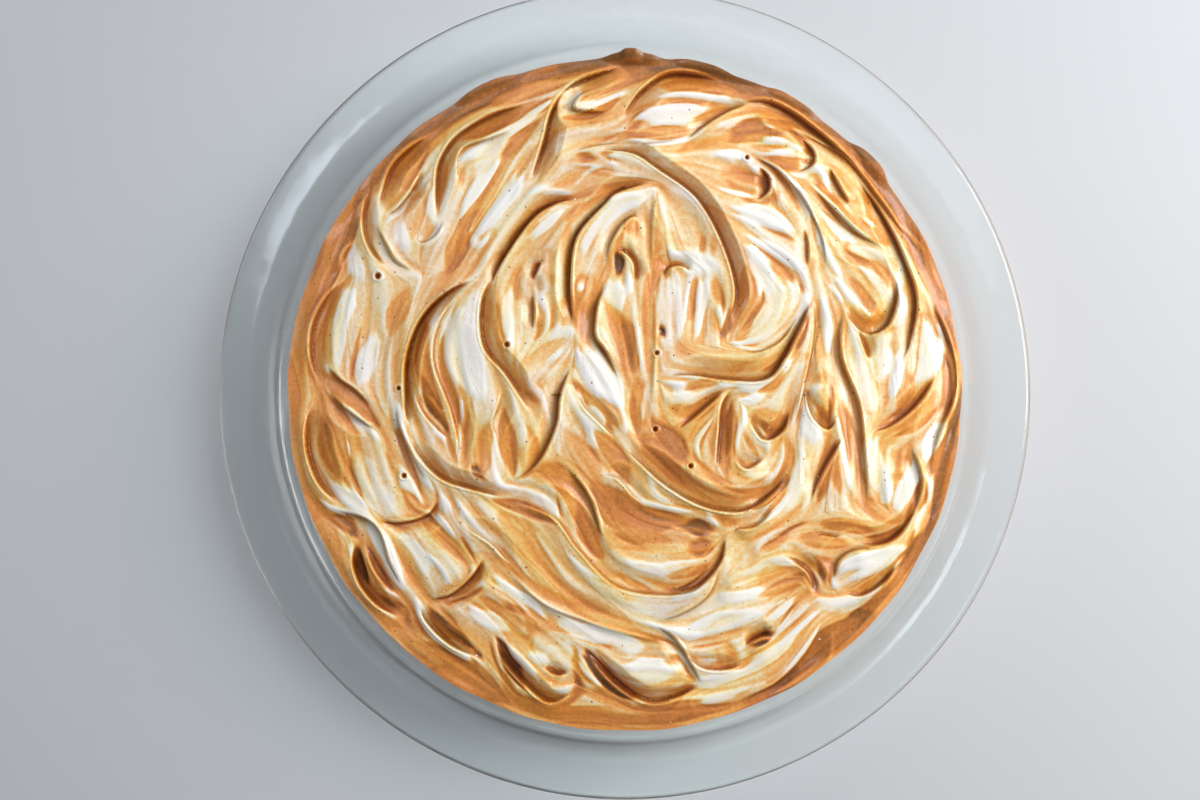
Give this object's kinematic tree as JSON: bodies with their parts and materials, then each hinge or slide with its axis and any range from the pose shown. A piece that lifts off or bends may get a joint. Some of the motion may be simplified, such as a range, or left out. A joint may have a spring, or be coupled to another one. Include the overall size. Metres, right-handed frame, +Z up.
{
  "type": "pumpkin pie",
  "caption": "Round pumpkin pie without a top crust, its soft filling swirled with cream, in the clear glass pie dish it was made in.",
  "frame": {"origin": "middle of the dish's flat foot, on the surface that it stands on", "axes": "+Z up along the dish's axis; +Y is the top of the swirl as seen from above"},
  "size_m": [0.248, 0.248, 0.038],
  "materials": {
    "glass": "clear pressed glass, faintly green at its edges, smooth and glossy",
    "filling": "soft whipped pumpkin filling marbled with white cream, satin and slightly moist, with fine specks of spice"
  },
  "bodies": {
    "root": {"dish": "glass", "filling": "filling"}
  },
  "joints": []
}
